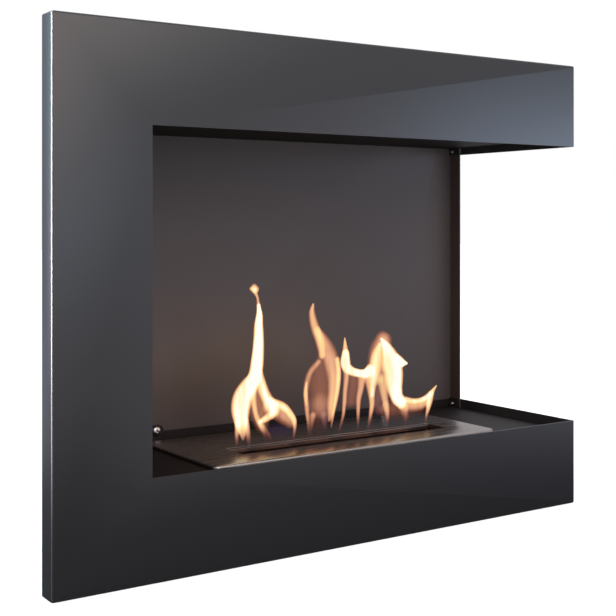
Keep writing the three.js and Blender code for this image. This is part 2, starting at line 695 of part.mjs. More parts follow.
/** Sliding shutter: flat sheet with a stiffening lip along its front and a pressed cup for the hook. */
function slidingShutter() {
  const centre = (SHUTTER_FRONT + SHUTTER_REAR) / 2;
  const cupY = SLOT_CENTRE + SHUTTER_TRAVEL;
  const lipHalf = SHUTTER_LENGTH / 2 - GUIDE_SHELF - SHUTTER_RUN;
  const lipDepth = [SHUTTER_FRONT, SHUTTER_FRONT + SHUTTER_SHEET];
  const lipLevel = [SHUTTER_TOP - SHUTTER_LIP, SHUTTER_TOP - SHUTTER_SHEET / 2];
  const cupFloor = SHUTTER_TOP - TOOL_CUP_DEPTH;
  const sheet = roundedRectangle(SHUTTER_LENGTH, SHUTTER_WIDTH, SHUTTER_CORNER, [0, centre]);
  let shutter = sweep('z', sheet, [SHUTTER_BOTTOM, SHUTTER_TOP]);
  const cupOutside = TOOL_CUP_RADIUS + SHUTTER_SHEET;
  shutter = shutter.add(block([-lipHalf, lipHalf], lipDepth, lipLevel));
  shutter = shutter.add(rod('z', cupOutside, [cupFloor - SHUTTER_SHEET, SHUTTER_BOTTOM], [0, cupY]));
  return shutter.subtract(rod('z', TOOL_CUP_RADIUS, [cupFloor, SHUTTER_TOP + SHUTTER_SHEET], [0, cupY]));
}

/** Block of ceramic fibre that soaks up the fuel below the slot. */
function fibreBlock() {
  const outline = roundedRectangle(FIBRE_LENGTH, FIBRE_WIDTH, SLOT_CORNER, [0, SLOT_CENTRE]);
  return sweep('z', outline, [FIBRE_BASE, FIBRE_BASE + FIBRE_HEIGHT]);
}

/** Perforated screen over the fibre, with a skirt down each long side. */
function fibreScreen() {
  const half = FIBRE_WIDTH / 2 + JOINT_GAP + SCREEN_SHEET / 2;
  const top = FIBRE_BASE + FIBRE_HEIGHT + JOINT_GAP + SCREEN_SHEET / 2;
  const line = [
    [SLOT_CENTRE - half, top - SCREEN_SKIRT],
    [SLOT_CENTRE - half, top],
    [SLOT_CENTRE + half, top],
    [SLOT_CENTRE + half, top - SCREEN_SKIRT],
  ];
  let screen = sweep('x', foldedSection(line, SCREEN_SHEET, SCREEN_BEND), pair(FIBRE_LENGTH));
  const columns = Math.floor((FIBRE_LENGTH - SCREEN_PITCH) / SCREEN_PITCH);
  for (let column = 0; column < columns; column += 1) {
    for (let row = 0; row < SCREEN_ROWS; row += 1) {
      const x = (column - (columns - 1) / 2) * SCREEN_PITCH;
      const y = SLOT_CENTRE + (row - (SCREEN_ROWS - 1) / 2) * SCREEN_PITCH;
      const through = [top - SCREEN_SHEET, top + SCREEN_SHEET];
      screen = screen.subtract(rod('z', SCREEN_HOLE_RADIUS, through, [x, y], PUNCHED_SIDES));
    }
  }
  return screen;
}

// ---- Assembly ----

const casing = new THREE.Group();
addPiece(casing, 'front_frame', frontFrame(), paint);
addPiece(casing, 'back_panel', backPanel(), blackPaint);
addPiece(casing, 'left_wall', leftWall(), blackPaint);
addPiece(casing, 'floor_tray', floorTray(), blackPaint);
addPiece(casing, 'ceiling_panel', ceilingPanel(), blackPaint);
addPiece(casing, 'base_cover', cover(0, 1), paint);
addPiece(casing, 'top_cover', cover(HEIGHT, -1), paint);
addPiece(casing, 'lower_cheek', sideCheek([CASING_SHEET + JOINT_GAP, BOTTOM_BAND], 0), paint);
addPiece(casing, 'upper_cheek', sideCheek([OPENING_TOP, HEIGHT - CASING_SHEET - JOINT_GAP], HEIGHT), paint);

for (const place of ['top', 'bottom', 'side']) {
  STUDS.filter((stud) => stud.place === place).forEach((stud, index) => {
    addPiece(casing, `frame_bracket_${place}_${index + 1}`, frameBracket(stud), zinc);
    addPiece(casing, `frame_nut_${place}_${index + 1}`, frameNut(stud), zinc);
  });
}

const cornerSeat = FRAME_WIDTH - REAR_INSET - CASING_SHEET - JOINT_GAP;
for (const [name, z] of Object.entries(CORNER_SCREW_ZS)) {
  const length = FRAME_WIDTH - JOINT_GAP - cornerSeat;
  const solid = buttonScrew(CORNER_SCREW_RADIUS, CORNER_HEAD_RADIUS, CORNER_HEAD_HEIGHT, length);
  const screw = addPiece(casing, `corner_screw_${name}`, solid, zinc);
  screw.position.set(cornerSeat, CORNER_SCREW_Y, z);
  screw.rotation.y = -Math.PI / 2;
}

const traySeat = LIP_FRONT - JOINT_GAP;
['left', 'right'].forEach((name, index) => {
  const length = CASING_DEPTH - JOINT_GAP - traySeat;
  const solid = buttonScrew(TRAY_SCREW_RADIUS, TRAY_HEAD_RADIUS, TRAY_HEAD_HEIGHT, length);
  const screw = addPiece(casing, `tray_screw_${name}`, solid, zinc);
  screw.position.set(TRAY_SCREW_XS[index], traySeat, TRAY_SCREW_Z);
  screw.rotation.x = Math.PI / 2;
});

const burner = new THREE.Group();
burner.position.set(BURNER_X, BURNER_Y, BURNER_Z);
addPiece(burner, 'burner_plate', burnerPlate(), stainless);
addPiece(burner, 'burner_tank', burnerTank(), stainless);
addPiece(burner, 'shutter_guide_left', shutterGuide(-1), stainless);
addPiece(burner, 'shutter_guide_right', shutterGuide(1), stainless);
addPiece(burner, 'fibre_block', fibreBlock(), ceramicFibre);
addPiece(burner, 'fibre_screen', fibreScreen(), stainless);

const shutter = new THREE.Group();
addPiece(shutter, 'sliding_shutter', slidingShutter(), stainless);
burner.add(shutter);

const fireplace = new THREE.Group();
fireplace.add(casing, burner);
fireplace.position.set(-FRAME_WIDTH / 2, -CASING_DEPTH / 2, 0);

export default fireplace;
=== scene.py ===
"""Looks of a bioethanol corner fireplace: paints, brushed steel, soft folds and the fire itself."""

import logging
import math
from collections.abc import Callable
from dataclasses import dataclass, replace
from enum import Enum

import bmesh
import bpy
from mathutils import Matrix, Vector, kdtree


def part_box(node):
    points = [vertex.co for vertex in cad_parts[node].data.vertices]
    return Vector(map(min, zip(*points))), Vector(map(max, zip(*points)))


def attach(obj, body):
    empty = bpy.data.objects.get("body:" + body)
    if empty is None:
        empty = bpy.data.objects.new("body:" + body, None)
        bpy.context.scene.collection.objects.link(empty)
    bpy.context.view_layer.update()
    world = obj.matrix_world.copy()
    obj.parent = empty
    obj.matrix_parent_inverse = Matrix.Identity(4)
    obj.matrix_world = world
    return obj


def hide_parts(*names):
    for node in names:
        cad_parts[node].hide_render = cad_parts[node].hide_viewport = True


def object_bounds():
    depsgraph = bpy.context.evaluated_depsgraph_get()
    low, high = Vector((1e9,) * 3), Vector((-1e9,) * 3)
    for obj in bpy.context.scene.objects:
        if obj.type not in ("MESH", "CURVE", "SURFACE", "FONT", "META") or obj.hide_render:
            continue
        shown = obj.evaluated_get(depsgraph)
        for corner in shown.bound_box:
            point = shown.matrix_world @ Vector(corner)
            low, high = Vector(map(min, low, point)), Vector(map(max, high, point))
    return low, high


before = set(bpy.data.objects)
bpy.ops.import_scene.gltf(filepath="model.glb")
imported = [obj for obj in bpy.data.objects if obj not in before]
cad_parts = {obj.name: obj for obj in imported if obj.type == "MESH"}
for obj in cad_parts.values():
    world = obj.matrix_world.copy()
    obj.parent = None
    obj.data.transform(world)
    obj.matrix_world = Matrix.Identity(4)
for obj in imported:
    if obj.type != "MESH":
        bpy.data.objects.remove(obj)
CAD_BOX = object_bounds()

MM = 0.001
Point = tuple[float, float, float]
Colour = tuple[float, float, float, float]
Pair = tuple[bpy.types.Material, bpy.types.Material]
Node = bpy.types.Node
Socket = bpy.types.NodeSocket

SHEET, FOLDS = 0, 1  # material indices of a dressed piece
WELD_DISTANCE = 0.002 * MM
FLAT_ANGLE = math.radians(0.6)
SMOOTH_ANGLE = math.radians(50)
EASED_ANGLE = math.radians(38)
OBLIQUE = 0.5  # least second component of a normal that lies between two axes


class Body(str, Enum):
    """Rigid bodies of the frame that a piece can ride on."""

    CASING = "casing"
    BURNER = "burner"
    SHUTTER = "shutter"


class Slot(str, Enum):
    """Names of the material slots of the record."""

    FRAME_PAINT = "frame_paint"
    FIREBOX_PAINT = "firebox_paint"
    STAINLESS = "stainless"
    FASTENER = "fastener_steel"
    FIBRE = "ceramic_fibre"
    FLAME = "flame"


# ---------------------------------------------------------------- shared shader effects


class NodeGroupBuilder:
    """Small helper that builds one shader node group with named inputs and outputs."""

    def __init__(self, name: str) -> None:
        """Start an empty group.

        Args:
            name: name of the group.
        """
        self.tree = bpy.data.node_groups.new(name, "ShaderNodeTree")
        self.entry = self.tree.nodes.new("NodeGroupInput")
        self.exit = self.tree.nodes.new("NodeGroupOutput")

    def value_in(self, name: str, default: float) -> Socket:
        """Add a number input.

        Args:
            name: socket name.
            default: value that the socket starts with.

        Returns:
            The socket inside the group.
        """
        socket = self.tree.interface.new_socket(name, in_out="INPUT", socket_type="NodeSocketFloat")
        socket.default_value = default
        return self.entry.outputs[name]

    def send(self, name: str, kind: str, source: Socket) -> None:
        """Add an output and feed it.

        Args:
            name: socket name.
            kind: socket type, such as NodeSocketFloat.
            source: socket inside the group that feeds it.
        """
        self.tree.interface.new_socket(name, in_out="OUTPUT", socket_type=kind)
        self.tree.links.new(source, self.exit.inputs[name])


class Wiring:
    """Adds nodes to a shader tree in one line each."""

    def __init__(self, tree: bpy.types.NodeTree) -> None:
        """Keep the tree.

        Args:
            tree: node tree to add to.
        """
        self.tree = tree

    def node(self, kind: str, **settings: object) -> Node:
        """Add a node.

        Args:
            kind: node type without its ShaderNode prefix.
            settings: attributes to set on it.

        Returns:
            The new node.
        """
        made = self.tree.nodes.new("ShaderNode" + kind)
        for key, value in settings.items():
            setattr(made, key, value)
        return made

    def link(self, source: Socket, target: Socket) -> None:
        """Join two sockets."""
        self.tree.links.new(source, target)

    def feed(self, target: Socket, value: object) -> None:
        """Link a socket to the target, or set the target to a plain value.

        Args:
            target: input socket.
            value: socket, number or colour.
        """
        if isinstance(value, Socket):
            self.link(value, target)
        else:
            target.default_value = value

    def math(self, operation: str, a: object, b: object = 0.0, clamp: bool = False) -> Socket:
        """Add a Math node.

        Args:
            operation: operation name, such as MULTIPLY.
            a: first socket or number.
            b: second socket or number.
            clamp: keep the result between 0 and 1.

        Returns:
            The result's socket.
        """
        made = self.node("Math", operation=operation, use_clamp=clamp)
        self.feed(made.inputs[0], a)
        self.feed(made.inputs[1], b)
        return made.outputs[0]

    def weighted(self, a: object, b: object, share: float) -> Socket:
        """Add two values by weight.

        Args:
            a: first socket.
            b: second socket.
            share: weight of the first; the second has the rest.

        Returns:
            The sum's socket.
        """
        return self.math("ADD", self.math("MULTIPLY", a, share), self.math("MULTIPLY", b, 1.0 - share))

    def spread(
        self, value: object, low: float, high: float, start: float = 0.0, end: float = 1.0
    ) -> Socket:
        """Map a range smoothly to another one.

        Args:
            value: socket to map.
            low: value that maps to start.
            high: value that maps to end.
            start: result at low.
            end: result at high.

        Returns:
            The result's socket.
        """
        made = self.node("MapRange", interpolation_type="SMOOTHSTEP")
        self.feed(made.inputs["Value"], value)
        for name, number in (("From Min", low), ("From Max", high), ("To Min", start), ("To Max", end)):
            made.inputs[name].default_value = number
        return made.outputs["Result"]

    def mix(self, factor: object, a: object, b: object) -> Socket:
        """Mix two colours.

        Args:
            factor: share of b.
            a: first colour or socket.
            b: second colour or socket.

        Returns:
            The mixed colour's socket.
        """
        made = self.node("Mix", data_type="RGBA")
        self.feed(made.inputs[0], factor)
        self.feed(made.inputs[6], a)
        self.feed(made.inputs[7], b)
        return made.outputs[2]

    def noise(self, vector: object, scale: object, detail: float, rough: float) -> Socket:
        """Add a noise texture.

        Args:
            vector: socket of the coordinates.
            scale: density, as a number or a socket.
            detail: octaves of finer noise.
            rough: strength of the finer noise.

        Returns:
            The value's socket.
        """
        made = self.node("TexNoise")
        self.feed(made.inputs["Vector"], vector)
        self.feed(made.inputs["Scale"], scale)
        made.inputs["Detail"].default_value = detail
        made.inputs["Roughness"].default_value = rough
        return made.outputs["Fac"]

    def stretched(self, scale: Point = (1.0, 1.0, 1.0)) -> Socket:
        """Give object coordinates, scaled along each axis.

        Args:
            scale: factor along each axis.

        Returns:
            The coordinates' socket.
        """
        place = self.node("TexCoord")
        mapping = self.node("Mapping")
        mapping.inputs["Scale"].default_value = scale
        self.link(place.outputs["Object"], mapping.inputs["Vector"])
        return mapping.outputs["Vector"]


def grain_group() -> bpy.types.NodeTree:
    """Fine orange-peel of a sprayed or powder-coated skin.

    Returns:
        Group with the outputs Height and Tone.
    """
    group = NodeGroupBuilder("coating_grain")
    wires = Wiring(group.tree)
    fine = group.value_in("Fine", 1400.0)
    coarse = group.value_in("Coarse", 260.0)
    place = wires.stretched()
    small = wires.noise(place, fine, detail=2.0, rough=0.6)
    large = wires.noise(place, coarse, detail=1.0, rough=0.5)
    group.send("Height", "NodeSocketFloat", wires.weighted(small, large, share=0.65))
    group.send("Tone", "NodeSocketFloat", wires.spread(small, low=0.35, high=0.7))
    return group.tree


def wear_group() -> bpy.types.NodeTree:
    """Patchy rubbing, for the finish of folded edges.

    Returns:
        Group with the output Mask.
    """
    group = NodeGroupBuilder("edge_rub")
    wires = Wiring(group.tree)
    amount = group.value_in("Amount", 0.5)
    patches = wires.noise(wires.stretched(), scale=35.0, detail=4.0, rough=0.6)
    patchy = wires.spread(patches, low=0.35, high=0.65)
    group.send("Mask", "NodeSocketFloat", wires.math("MULTIPLY", patchy, amount, clamp=True))
    return group.tree


def dust_group() -> bpy.types.NodeTree:
    """Soft uneven film of dust or soot.

    Returns:
        Group with the output Mask.
    """
    group = NodeGroupBuilder("settled_film")
    wires = Wiring(group.tree)
    amount = group.value_in("Amount", 0.3)
    broad = wires.noise(wires.stretched(), scale=5.0, detail=5.0, rough=0.55)
    speck = wires.noise(wires.stretched(), scale=90.0, detail=3.0, rough=0.6)
    cloud = wires.spread(broad, low=0.35, high=0.72)
    grit = wires.spread(speck, low=0.45, high=0.8)
    film = wires.weighted(cloud, grit, share=0.75)
    group.send("Mask", "NodeSocketFloat", wires.math("MULTIPLY", film, amount, clamp=True))
    return group.tree


def brushed_group() -> bpy.types.NodeTree:
    """Grain of brushed steel, drawn out along one axis.

    Returns:
        Group with the outputs Height and Tone.
    """
    group = NodeGroupBuilder("brushed_grain")
    wires = Wiring(group.tree)
    density = group.value_in("Density", 1.0)
    hair = wires.noise(wires.stretched((14.0, 2600.0, 2600.0)), density, detail=3.0, rough=0.7)
    band = wires.noise(wires.stretched((5.0, 420.0, 420.0)), scale=1.0, detail=2.0, rough=0.6)
    height = wires.weighted(hair, band, share=0.6)
    group.send("Height", "NodeSocketFloat", height)
    group.send("Tone", "NodeSocketFloat", wires.spread(height, low=0.38, high=0.62))
    return group.tree


class Effects:
    """The shared node groups, each built once on first use."""

    _builders: dict[str, Callable[[], bpy.types.NodeTree]] = {
        "grain": grain_group,
        "wear": wear_group,
        "dust": dust_group,
        "brushed": brushed_group,
    }
    _made: dict[str, bpy.types.NodeTree] = {}

    @classmethod
    def place(cls, wires: Wiring, effect: str, **inputs: float) -> Node:
        """Place a shared effect in a material.

        Args:
            wires: wiring of the material's tree.
            effect: key of the effect.
            inputs: values of its inputs, by name.

        Returns:
            The group node.
        """
        if effect not in cls._made:
            cls._made[effect] = cls._builders[effect]()
        made = wires.node("Group", node_tree=cls._made[effect])
        for name, value in inputs.items():
            made.inputs[name].default_value = value
        return made


# ---------------------------------------------------------------- finishes


@dataclass(frozen=True)
class Finish:
    """Base of all finishes: one Principled shader, plain on the sheet and rubbed on its folds."""

    name: str
    wear: float = 0.0
    fold_wear: float = 0.5
    roughness: float = 0.5
    fold_roughness: float = 0.3

    def build(self) -> bpy.types.Material:
        """Build the material.

        Returns:
            The finished material.
        """
        material = bpy.data.materials.new(self.name)
        material.use_nodes = True
        shader = material.node_tree.nodes["Principled BSDF"]
        self.wire(Wiring(material.node_tree), shader)
        return material

    def pair(self) -> Pair:
        """Build the finish of the sheet and the rubbed one of its folds."""
        folds = replace(self, name=f"{self.name}_folds", wear=self.fold_wear, roughness=self.fold_roughness)
        return self.build(), folds.build()

    def wire(self, wires: Wiring, shader: Node) -> None:
        """Wire the shader; each finish has its own.

        Args:
            wires: wiring of the material's tree.
            shader: Principled shader to feed.
        """
        raise NotImplementedError

    def gloss(self, wires: Wiring, tone: Socket, swing: float) -> Socket:
        """Make a roughness that swings around the finish's own.

        Args:
            wires: wiring of the material's tree.
            tone: pattern that the roughness follows.
            swing: whole width of the swing.

        Returns:
            The roughness's socket.
        """
        return wires.math("ADD", wires.math("MULTIPLY", tone, swing), self.roughness - swing / 2)

    @staticmethod
    def bump(wires: Wiring, shader: Node, height: Socket, distance: float, strength: float) -> None:
        """Feed a height to the shader's normal through a Bump node.

        Args:
            wires: wiring of the material's tree.
            shader: Principled shader to feed.
            height: pattern of the relief.
            distance: depth of the relief, in metres.
            strength: share of it that is used.
        """
        made = wires.node("Bump")
        made.inputs["Distance"].default_value = distance
        made.inputs["Strength"].default_value = strength
        wires.link(height, made.inputs["Height"])
        wires.link(made.outputs["Normal"], shader.inputs["Normal"])


@dataclass(frozen=True)
class CoatedSteel(Finish):
    """Powder-coated or stove-painted sheet steel; folds left of a given X are painted as bare shiny metal, a
    painted highlight line along the frame's left fold.
    """

    base: Colour = (0.010, 0.0105, 0.012, 1.0)
    worn: Colour = (0.05, 0.05, 0.055, 1.0)
    film: Colour = (0.06, 0.058, 0.056, 1.0)
    roughness: float = 0.4
    roughness_swing: float = 0.06
    grain_depth: float = 0.00004
    grain_strength: float = 0.25
    dust: float = 0.02
    dust_dulling: float = 0.15
    specular: float = 0.5
    glint_metal: Colour = (0.62, 0.63, 0.65, 1.0)
    glint_left_of: float | None = None
    glint_blend: float = 0.0003
    fleck: float = 1.15

    def wire(self, wires: Wiring, shader: Node) -> None:
        """Wire the paint: base, dust film, rubbed folds, a painted highlight of bare metal on folds left of
        a given X, uneven gloss and orange-peel.

        Args:
            wires: wiring of the material's tree.
            shader: Principled shader to feed.
        """
        grain = Effects.place(wires, "grain")
        wear = Effects.place(wires, "wear", Amount=self.wear)
        dust = Effects.place(wires, "dust", Amount=self.dust)
        flecked = (*(self.fleck * part for part in self.base[:3]), 1.0)
        coat = wires.mix(grain.outputs["Tone"], self.base, flecked)
        dusty = wires.mix(dust.outputs["Mask"], coat, self.film)
        painted = wires.mix(wear.outputs["Mask"], dusty, self.worn)
        # Bare shiny metal on folds left of a given X: a painted highlight, the glint line along the frame's
        # left fold.
        if self.wear and self.glint_left_of is not None:
            place = wires.node("SeparateXYZ")
            wires.link(wires.stretched(), place.inputs["Vector"])
            left = self.glint_left_of
            glint_mask = wires.spread(place.outputs["X"], left - self.glint_blend, left, start=1.0, end=0.0)
            wires.link(glint_mask, shader.inputs["Metallic"])
            painted = wires.mix(glint_mask, painted, self.glint_metal)
        wires.link(painted, shader.inputs["Base Color"])
        gloss = self.gloss(wires, grain.outputs["Tone"], self.roughness_swing)
        dulled = wires.math("MULTIPLY", dust.outputs["Mask"], self.dust_dulling)
        wires.link(wires.math("ADD", gloss, dulled), shader.inputs["Roughness"])
        shader.inputs["Specular IOR Level"].default_value = self.specular
        self.bump(wires, shader, grain.outputs["Height"], self.grain_depth, self.grain_strength)


@dataclass(frozen=True)
class BrushedSteel(Finish):
    """Brushed stainless steel, a little smoked by the fire."""

    bright: Colour = (0.33, 0.30, 0.28, 1.0)
    dark: Colour = (0.25, 0.22, 0.205, 1.0)
    smoke: Colour = (0.14, 0.105, 0.092, 1.0)
    roughness: float = 0.26
    roughness_swing: float = 0.12
    smoke_amount: float = 0.35
    smoke_dulling: float = 0.25
    grain_depth: float = 0.000012
    grain_strength: float = 0.3
    anisotropy: float = 0.4

    def wire(self, wires: Wiring, shader: Node) -> None:
        """Wire the steel: grain, smoked patches, brighter rubbed folds and uneven gloss.

        Args:
            wires: wiring of the material's tree.
            shader: Principled shader to feed.
        """
        brushed = Effects.place(wires, "brushed")
        wear = Effects.place(wires, "wear", Amount=self.wear)
        dust = Effects.place(wires, "dust", Amount=self.smoke_amount)
        steel = wires.mix(brushed.outputs["Tone"], self.dark, self.bright)
        smoked = wires.mix(dust.outputs["Mask"], steel, self.smoke)
        wires.link(wires.mix(wear.outputs["Mask"], smoked, self.bright), shader.inputs["Base Color"])
        shader.inputs["Metallic"].default_value = 1.0
        gloss = self.gloss(wires, brushed.outputs["Tone"], self.roughness_swing)
        dulled = wires.math("MULTIPLY", dust.outputs["Mask"], self.smoke_dulling)
        wires.link(wires.math("ADD", gloss, dulled), shader.inputs["Roughness"])
        shader.inputs["Anisotropic"].default_value = self.anisotropy
        self.bump(wires, shader, brushed.outputs["Height"], self.grain_depth, self.grain_strength)


@dataclass(frozen=True)
class ZincPlate(Finish):
    """Bright zinc on small hardware."""

    light: Colour = (0.44, 0.44, 0.45, 1.0)
    dull: Colour = (0.26, 0.26, 0.27, 1.0)
    roughness: float = 0.3
    roughness_swing: float = 0.16
    spangle_density: float = 420.0
    spangle_depth: float = 0.00004
    spangle_strength: float = 0.2

    def wire(self, wires: Wiring, shader: Node) -> None:
        """Wire the zinc: spangled tone, rubbed folds and uneven gloss.

        Args:
            wires: wiring of the material's tree.
            shader: Principled shader to feed.
        """
        grains = wires.noise(wires.stretched(), self.spangle_density, detail=3.0, rough=0.6)
        spangle = wires.spread(grains, low=0.35, high=0.7)
        wear = Effects.place(wires, "wear", Amount=self.wear)
        zinc = wires.mix(spangle, self.dull, self.light)
        wires.link(wires.mix(wear.outputs["Mask"], zinc, self.light), shader.inputs["Base Color"])
        shader.inputs["Metallic"].default_value = 1.0
        wires.link(self.gloss(wires, spangle, self.roughness_swing), shader.inputs["Roughness"])
        self.bump(wires, shader, spangle, self.spangle_depth, self.spangle_strength)


@dataclass(frozen=True)
class CeramicFibre(Finish):
    """Soft white fibre, darkened where fuel has soaked in."""

    dry: Colour = (0.78, 0.75, 0.68, 1.0)
    soaked: Colour = (0.42, 0.38, 0.32, 1.0)
    soaking: float = 0.8
    strand_density: Point = (120.0, 900.0, 500.0)
    strand_depth: float = 0.0006
    strand_strength: float = 0.8

    def wire(self, wires: Wiring, shader: Node) -> None:
        """Wire the fibre: fuzzy strands, soaked patches and a deep soft bump.

        Args:
            wires: wiring of the material's tree.
            shader: Principled shader to feed.
        """
        strand = wires.noise(wires.stretched(self.strand_density), scale=1.0, detail=5.0, rough=0.7)
        dust = Effects.place(wires, "dust", Amount=self.soaking)
        wires.link(wires.mix(dust.outputs["Mask"], self.dry, self.soaked), shader.inputs["Base Color"])
        matt = wires.spread(strand, low=0.3, high=0.7, start=0.85, end=1.0)
        wires.link(matt, shader.inputs["Roughness"])
        self.bump(wires, shader, strand, self.strand_depth, self.strand_strength)


@dataclass(frozen=True)
class Flame(Finish):
    """Luminous gas: white where it is hottest, amber at its rims, salmon and clear where it is thin."""

    glow: tuple[tuple[float, Colour], ...] = (
        (0.0, (0.24, 0.055, 0.025, 1.0)),
        (0.28, (0.60, 0.22, 0.125, 1.0)),
        (0.5, (0.88, 0.44, 0.25, 1.0)),
        (0.68, (1.0, 0.63, 0.27, 1.0)),
        (0.84, (1.0, 0.86, 0.44, 1.0)),
        (1.0, (1.0, 1.0, 0.90, 1.0)),
    )
    cover: tuple[tuple[float, float], ...] = (
        (0.0, 0.0),
        (0.12, 0.07),
        (0.3, 0.27),
        (0.5, 0.62),
        (0.72, 0.92),
        (0.9, 1.0),
    )
    blue: Colour = (0.06, 0.034, 0.10, 1.0)
    strength: float = 1.05
    streak_density: Point = (75.0, 25.0, 11.0)
    faint_streak: float = 0.86
    strong_streak: float = 1.14

    def build(self) -> bpy.types.Material:
        """Build the material, which isn't sampled as a lamp: small lights stand for the fire's light.

        Returns:
            The finished material.
        """
        material = super().build()
        material.cycles.emission_sampling = "NONE"
        return material

    def wire(self, wires: Wiring, shader: Node) -> None:
        """Wire the fire: the power and tint written on the mesh, broken up by rising streaks.

        Args:
            wires: wiring of the material's tree.
            shader: Principled shader to feed.
        """
        power = wires.node("Attribute", attribute_name="power").outputs["Fac"]
        tint = wires.node("Attribute", attribute_name="tint").outputs["Fac"]
        streak = wires.noise(wires.stretched(self.streak_density), scale=1.0, detail=3.0, rough=0.55)
        streaks = wires.spread(streak, low=0.30, high=0.70, start=self.faint_streak, end=self.strong_streak)
        uneven = wires.math("MULTIPLY", power, streaks, clamp=True)
        warm = self.ramp(wires, uneven, self.glow)
        wires.link(wires.mix(tint, warm, self.blue), shader.inputs["Emission Color"])
        shades = tuple((place, (value, value, value, 1.0)) for place, value in self.cover)
        wires.link(self.ramp(wires, uneven, shades), shader.inputs["Alpha"])
        shader.inputs["Base Color"].default_value = (0.0, 0.0, 0.0, 1.0)
        shader.inputs["Specular IOR Level"].default_value = 0.0
        shader.inputs["Roughness"].default_value = 1.0
        shader.inputs["Emission Strength"].default_value = self.strength

    @staticmethod
    def ramp(wires: Wiring, value: Socket, stops: tuple[tuple[float, Colour], ...]) -> Socket:
        """Map a value to colours.

        Args:
            wires: wiring of the material's tree.
            value: socket to map.
            stops: places and colours along the ramp.

        Returns:
            The colour's socket.
        """
        made = wires.node("ValToRGB")
        made.color_ramp.interpolation = "LINEAR"
        elements = made.color_ramp.elements
        while len(elements) < len(stops):
            elements.new(0.5)
        for element, (place, colour) in zip(elements, stops):
            element.position = place
            element.color = colour
        wires.link(value, made.inputs["Fac"])
        return made.outputs["Color"]


@dataclass(frozen=True)
class PaleFloor(Finish):
    """Plain pale studio floor, held back in reflections so that the coated steel keeps its depth: to glossy
    rays it shows painted shade, darkest close to the fireplace.
    """

    light: Colour = (0.9, 0.9, 0.9, 1.0)
    dark: Colour = (0.87, 0.87, 0.87, 1.0)
    reflected_shade_near: Colour = (0.05, 0.05, 0.054, 1.0)
    reflected_far: Colour = (0.42, 0.42, 0.43, 1.0)
    near: float = 0.4
    far: float = 0.85
    reach: Point = (0.6, 1.0, 0.0)
    cloud_density: float = 1.5
    lift: float = 0.35

    def wire(self, wires: Wiring, shader: Node) -> None:
        """Wire the floor: barely uneven, matt, and dark to glossy rays close to the fireplace, a painted
        shade around it in reflections.

        Args:
            wires: wiring of the material's tree.
            shader: Principled shader to feed.
        """
        cloud = wires.noise(wires.stretched(), self.cloud_density, detail=2.0, rough=0.5)
        ray = wires.node("LightPath")
        pale = wires.mix(cloud, self.dark, self.light)
        # Painted shade: the colour seen in reflections darkens towards the fireplace.
        distance = wires.node("VectorMath", operation="LENGTH")
        wires.link(wires.stretched(self.reach), distance.inputs[0])
        away = wires.spread(distance.outputs["Value"], self.near, self.far)
        shaded_reflection = wires.mix(away, self.reflected_shade_near, self.reflected_far)
        wires.link(wires.mix(ray.outputs["Is Glossy Ray"], pale, shaded_reflection), shader.inputs["Base Color"])
        shader.inputs["Roughness"].default_value = 1.0
        shader.inputs["Specular IOR Level"].default_value = 0.0
        glow = wires.mix(ray.outputs["Is Camera Ray"], (0.0, 0.0, 0.0, 1.0), (1.0, 1.0, 1.0, 1.0))
        wires.link(glow, shader.inputs["Emission Color"])
        shader.inputs["Emission Strength"].default_value = self.lift


# ---------------------------------------------------------------- sub-assemblies


def softened(
    node: str, body: Body, finish: Pair, fold: float, segments: int = 3
) -> bpy.types.Object:
    """Make the dressed skin of a CAD piece: the same shape with its sharp edges eased.

    Args:
        node: CAD node that the skin stands for.
        body: body that it rides on.
        finish: materials of the sheet and of its folds and eased edges.
        fold: width of the eased edge, in metres.
        segments: facets across each eased edge.

    Returns:
        The new object.
    """
    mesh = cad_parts[node].data.copy()
    mesh.name = f"{node}_skin"
    work = bmesh.new()
    work.from_mesh(mesh)
    bmesh.ops.remove_doubles(work, verts=work.verts, dist=WELD_DISTANCE)
    bmesh.ops.dissolve_limit(work, angle_limit=FLAT_ANGLE, verts=work.verts, edges=work.edges)
    work.to_mesh(mesh)
    work.free()
    for name in ("custom_normal", "sharp_face"):
        if name in mesh.attributes:
            mesh.attributes.remove(mesh.attributes[name])
    mesh.shade_smooth()
    mesh.set_sharp_from_angle(angle=SMOOTH_ANGLE)
    piece = bpy.data.objects.new(f"{node}_skin", mesh)
    bpy.context.scene.collection.objects.link(piece)
    mesh.materials.clear()
    for material in finish:
        mesh.materials.append(material)
    # Oblique bend facets take the folds finish, which on the frame's left fold carries the painted highlight
    # line.
    for face in mesh.polygons:
        second = sorted(abs(part) for part in face.normal)[1]
        face.material_index = FOLDS if second > OBLIQUE else SHEET
    ease = piece.modifiers.new("eased_edges", "BEVEL")
    ease.width = fold
    ease.segments = segments
    ease.limit_method = "ANGLE"
    ease.angle_limit = EASED_ANGLE
    ease.harden_normals = True
    ease.material = FOLDS
    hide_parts(node)
    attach(piece, body.value)
    logging.info("%s on %s", piece.name, body.value)
    return piece


@dataclass
class FrontFrame:
    """The C-shaped face of folded sheet."""

    paint: CoatedSteel = CoatedSteel(
        "satin_anthracite",
        roughness=0.32,
        fold_roughness=0.2,
        roughness_swing=0.03,
        grain_strength=0.2,
        dust=0.0,
        # Folds at the far left are painted as bare metal: a painted highlight line along that fold.
        glint_left_of=-0.3979,
    )
    fold: float = 0.7 * MM

    def build(self) -> None:
        """Dress the frame."""
        softened("front_frame", Body.CASING, self.paint.pair(), self.fold)


